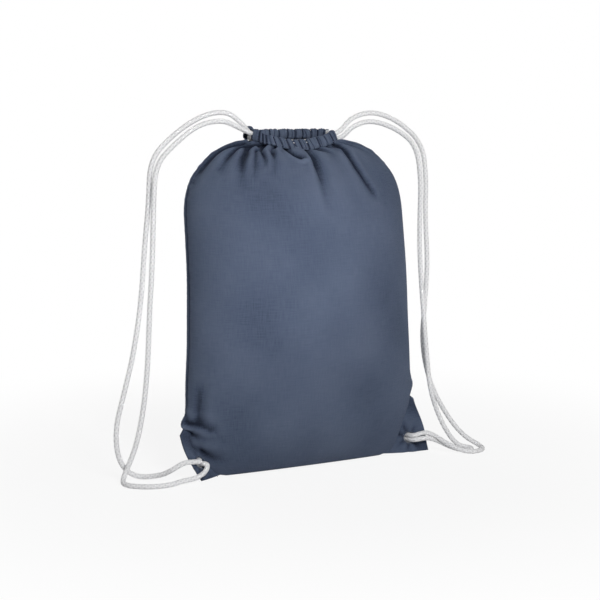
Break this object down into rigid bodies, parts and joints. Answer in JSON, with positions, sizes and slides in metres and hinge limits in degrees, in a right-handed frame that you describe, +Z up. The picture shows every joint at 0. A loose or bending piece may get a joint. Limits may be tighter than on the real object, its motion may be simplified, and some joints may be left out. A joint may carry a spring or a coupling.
{
  "type": "drawstring backpack",
  "caption": "Filled cotton drawstring bag with a gathered channel mouth, bottom corner tabs and looped white cord shoulder straps.",
  "frame": {"origin": "on the floor, in the flat bottom that the bag stands on, midway between its sides", "axes": "+Z up, the front panel faces -Y, the wearer's back lies towards +Y, +X to the right seen from the front"},
  "size_m": [0.4854, 0.1634, 0.4355],
  "materials": {
    "navy_cotton": "matt plain-weave cotton, dyed navy blue",
    "navy_thread": "matt cotton thread, dyed to match the cloth",
    "white_cord": "matt braided cotton cord, white"
  },
  "bodies": {
    "root": {"back_channel": "navy_cotton", "back_channel_stitching": "navy_thread", "back_panel": "navy_cotton", "front_channel": "navy_cotton", "front_channel_stitching": "navy_thread", "front_panel": "navy_cotton", "left_cord_ends": "white_cord", "left_cord_in_channel": "white_cord", "left_corner_tab": "navy_cotton", "left_hole_binding": "navy_thread", "left_knot": "white_cord", "left_tab_stitching": "navy_thread", "right_cord_ends": "white_cord", "right_cord_in_channel": "white_cord", "right_corner_tab": "navy_cotton", "right_hole_binding": "navy_thread", "right_knot": "white_cord", "right_tab_stitching": "navy_thread"},
    "left_strap": {"left_strap_outer": "white_cord", "left_strap_inner": "white_cord"},
    "right_strap": {"right_strap_outer": "white_cord", "right_strap_inner": "white_cord"}
  },
  "joints": [
    {"name": "left_strap_swing", "type": "hinge", "parent": "root", "child": "left_strap", "pos_m": [-0.0681, 0.0174, 0.4209], "axis": [0.2421, 0.1198, 0.9628], "range_deg": [-20, 40]},
    {"name": "right_strap_swing", "type": "hinge", "parent": "root", "child": "right_strap", "pos_m": [0.07, 0.0174, 0.4083], "axis": [-0.2613, 0.1216, 0.9576], "range_deg": [-35, 25]}
  ]
}
